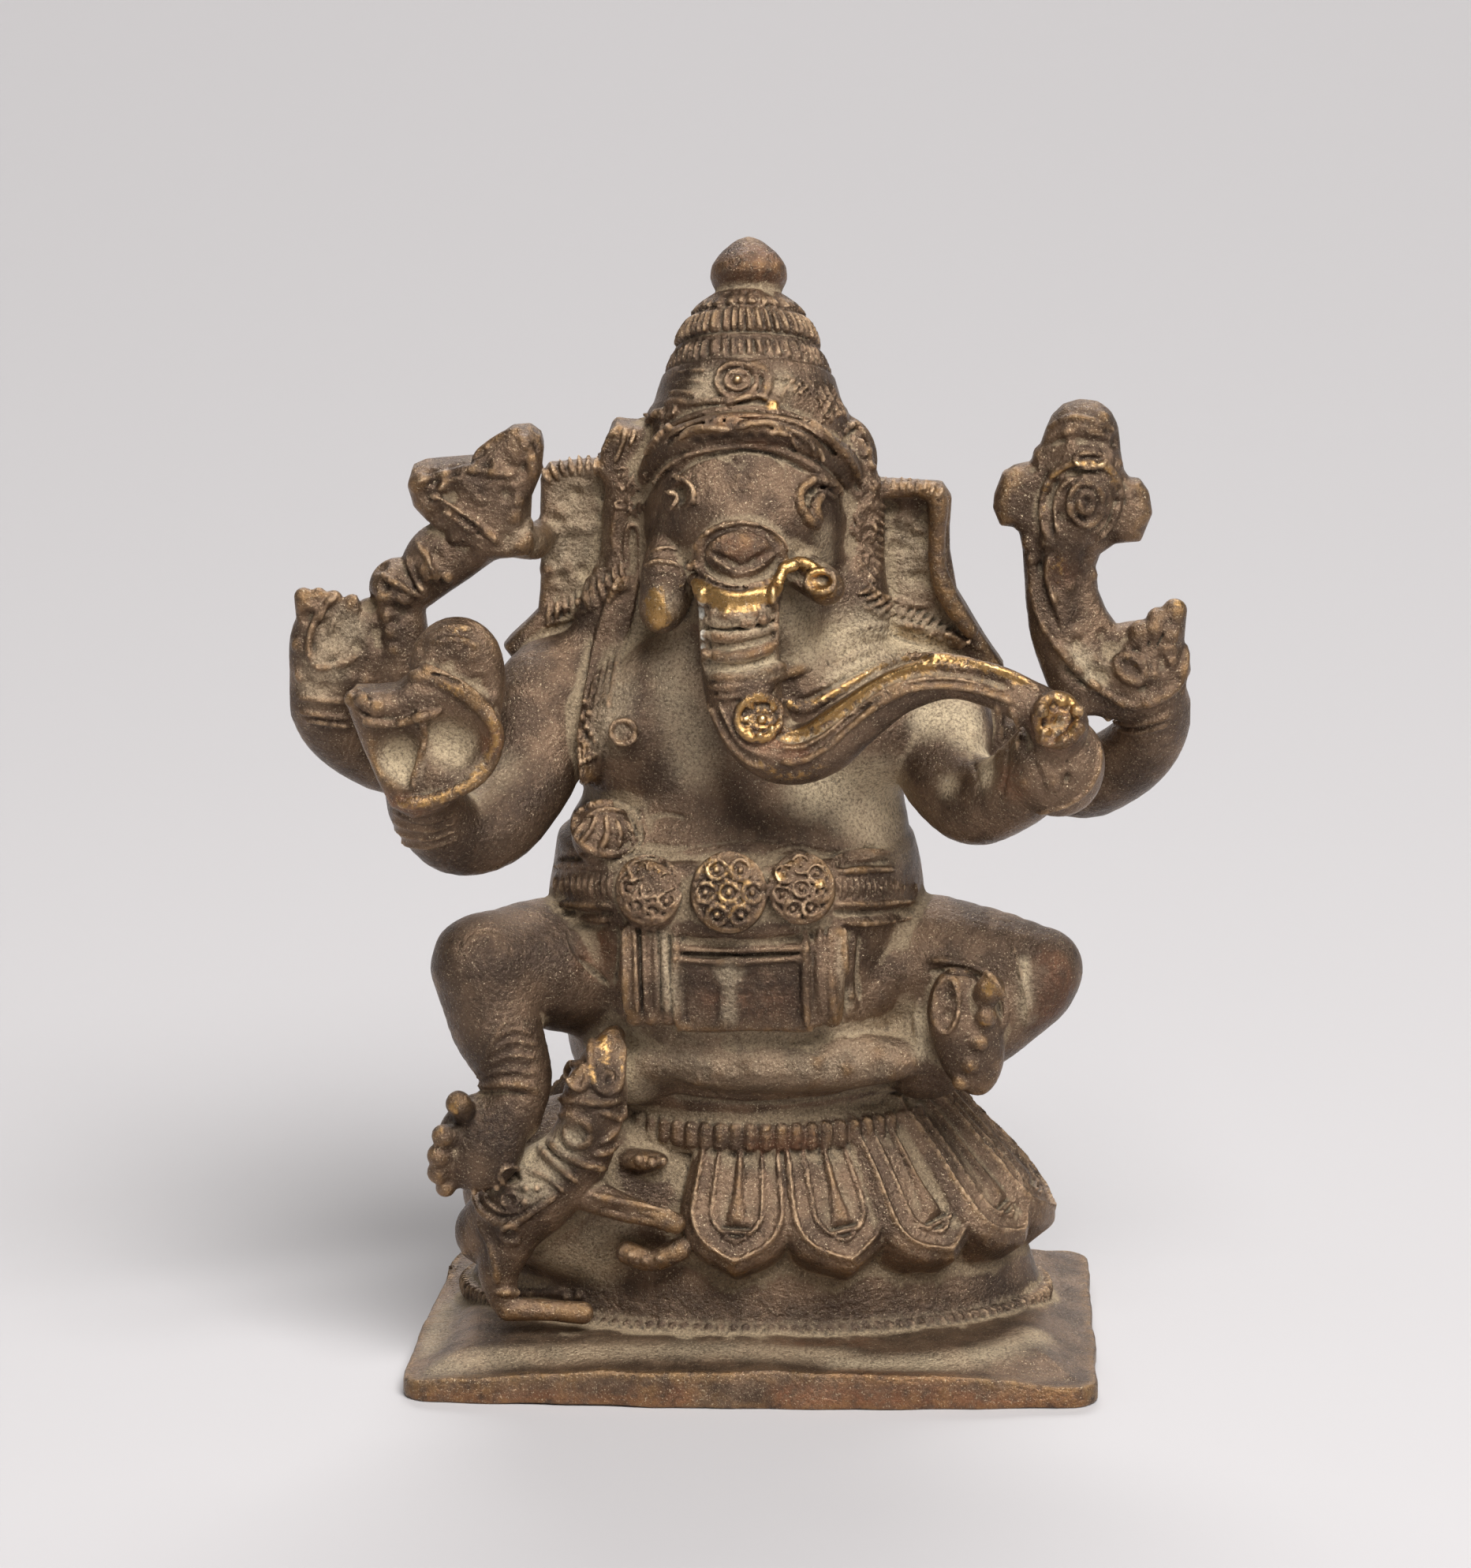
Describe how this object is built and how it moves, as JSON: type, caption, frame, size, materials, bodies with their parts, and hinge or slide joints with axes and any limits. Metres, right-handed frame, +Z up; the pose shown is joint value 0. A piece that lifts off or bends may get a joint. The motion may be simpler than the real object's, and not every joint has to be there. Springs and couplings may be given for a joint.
{
  "type": "ganesha figure",
  "caption": "Small cast bronze figure of four-armed Ganesha seated on a lotus pedestal, with his mouse, on a rectangular foot plate.",
  "frame": {"origin": "centre of the foot plate's flat underside", "axes": "+Z up through the crown, -Y the way the figure faces, +X to the viewer's right"},
  "size_m": [0.0629, 0.0331, 0.0797],
  "materials": {
    "bronze": "old dark brown patina, khaki-grey dust in the recesses, rubbed golden on the high edges"
  },
  "bodies": {
    "root": {"ganesha_figure": "bronze"}
  },
  "joints": []
}
